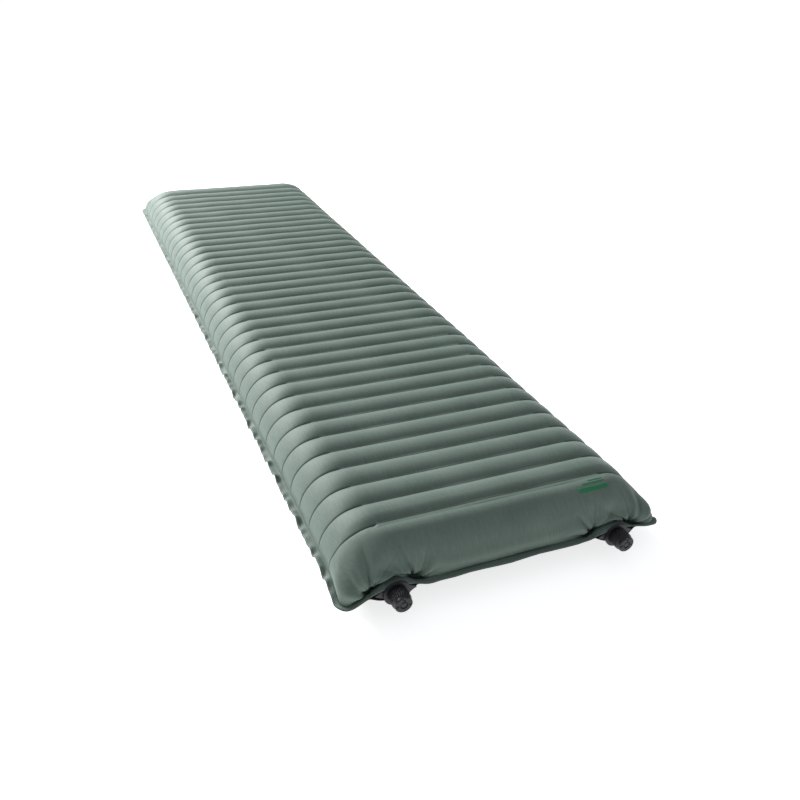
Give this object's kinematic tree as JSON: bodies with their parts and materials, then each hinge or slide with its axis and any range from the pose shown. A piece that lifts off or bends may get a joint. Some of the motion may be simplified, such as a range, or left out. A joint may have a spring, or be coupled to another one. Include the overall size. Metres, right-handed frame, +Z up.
{
  "type": "inflatable sleeping pad",
  "caption": "Rectangular air-filled sleeping pad with cross-wise arched chambers, a welded side seam and two twist valves in the seam of one end.",
  "frame": {"origin": "centre of the whole pad's bounding box, on the floor plane that its underside rests on", "axes": "+Y along the length away from the valve end, +X across the width, +Z up"},
  "size_m": [0.51, 1.857, 0.108],
  "materials": {
    "top_fabric": "matt coated plain-weave nylon, sage green",
    "bottom_fabric": "matt coated plain-weave nylon, dark grey green",
    "web_film": "thin coated fabric, off-white",
    "valve_plastic": "black moulded nylon, satin",
    "ring_plastic": "dark grey acetal",
    "seal_rubber": "dark grey silicone rubber"
  },
  "bodies": {
    "pad": {"top_sheet": "top_fabric", "bottom_sheet": "bottom_fabric", "inflation_valve_base": "valve_plastic", "inflation_plug": "valve_plastic", "inflation_retaining_ring": "ring_plastic", "inflation_neck_seal": "seal_rubber", "inflation_flap_cage": "valve_plastic", "deflation_valve_base": "valve_plastic", "deflation_plug": "valve_plastic", "deflation_retaining_ring": "ring_plastic", "deflation_neck_seal": "seal_rubber", "baffle_web_01": "web_film", "baffle_web_02": "web_film", "baffle_web_03": "web_film", "baffle_web_04": "web_film", "baffle_web_05": "web_film", "baffle_web_06": "web_film", "baffle_web_07": "web_film", "baffle_web_08": "web_film", "baffle_web_09": "web_film", "baffle_web_10": "web_film", "baffle_web_11": "web_film", "baffle_web_12": "web_film", "baffle_web_13": "web_film", "baffle_web_14": "web_film", "baffle_web_15": "web_film", "baffle_web_16": "web_film", "baffle_web_17": "web_film", "baffle_web_18": "web_film", "baffle_web_19": "web_film", "baffle_web_20": "web_film", "baffle_web_21": "web_film", "baffle_web_22": "web_film", "baffle_web_23": "web_film", "baffle_web_24": "web_film", "baffle_web_25": "web_film", "baffle_web_26": "web_film", "baffle_web_27": "web_film", "baffle_web_28": "web_film", "baffle_web_29": "web_film", "baffle_web_30": "web_film", "baffle_web_31": "web_film", "baffle_web_32": "web_film", "baffle_web_33": "web_film", "baffle_web_34": "web_film", "baffle_web_35": "web_film", "baffle_web_36": "web_film", "baffle_web_37": "web_film"},
    "inflation_seal_slider": {"inflation_mouth_seal": "seal_rubber"},
    "inflation_knob": {"inflation_cap": "valve_plastic"},
    "deflation_seal_slider": {"deflation_mouth_seal": "seal_rubber"},
    "deflation_knob": {"deflation_cap": "valve_plastic"},
    "inflation_flap": {"inflation_flap": "seal_rubber"}
  },
  "joints": [
    {"name": "inflation_knob_travel", "type": "slide", "parent": "pad", "child": "inflation_seal_slider", "axis": [0, -1, 0], "range_m": [0, 0.0045]},
    {"name": "inflation_knob_turn", "type": "hinge", "parent": "inflation_seal_slider", "child": "inflation_knob", "pos_m": [-0.175, -0.9165, 0.038], "axis": [0, 1, 0], "range_deg": [0, 270]},
    {"name": "deflation_knob_travel", "type": "slide", "parent": "pad", "child": "deflation_seal_slider", "axis": [0, -1, 0], "range_m": [0, 0.0045]},
    {"name": "deflation_knob_turn", "type": "hinge", "parent": "deflation_seal_slider", "child": "deflation_knob", "pos_m": [0.175, -0.9165, 0.038], "axis": [0, 1, 0], "range_deg": [0, 270]},
    {"name": "inflation_flap_hinge", "type": "hinge", "parent": "pad", "child": "inflation_flap", "pos_m": [-0.175, -0.8649, 0.0473], "axis": [1, 0, 0], "range_deg": [0, 35], "stiffness_Nm_per_rad": 0.0004}
  ],
  "couplings": [
    {"joint": "inflation_knob_turn", "follows": "inflation_knob_travel", "rad_per_m": 1047.2},
    {"joint": "deflation_knob_turn", "follows": "deflation_knob_travel", "rad_per_m": 1047.2}
  ]
}
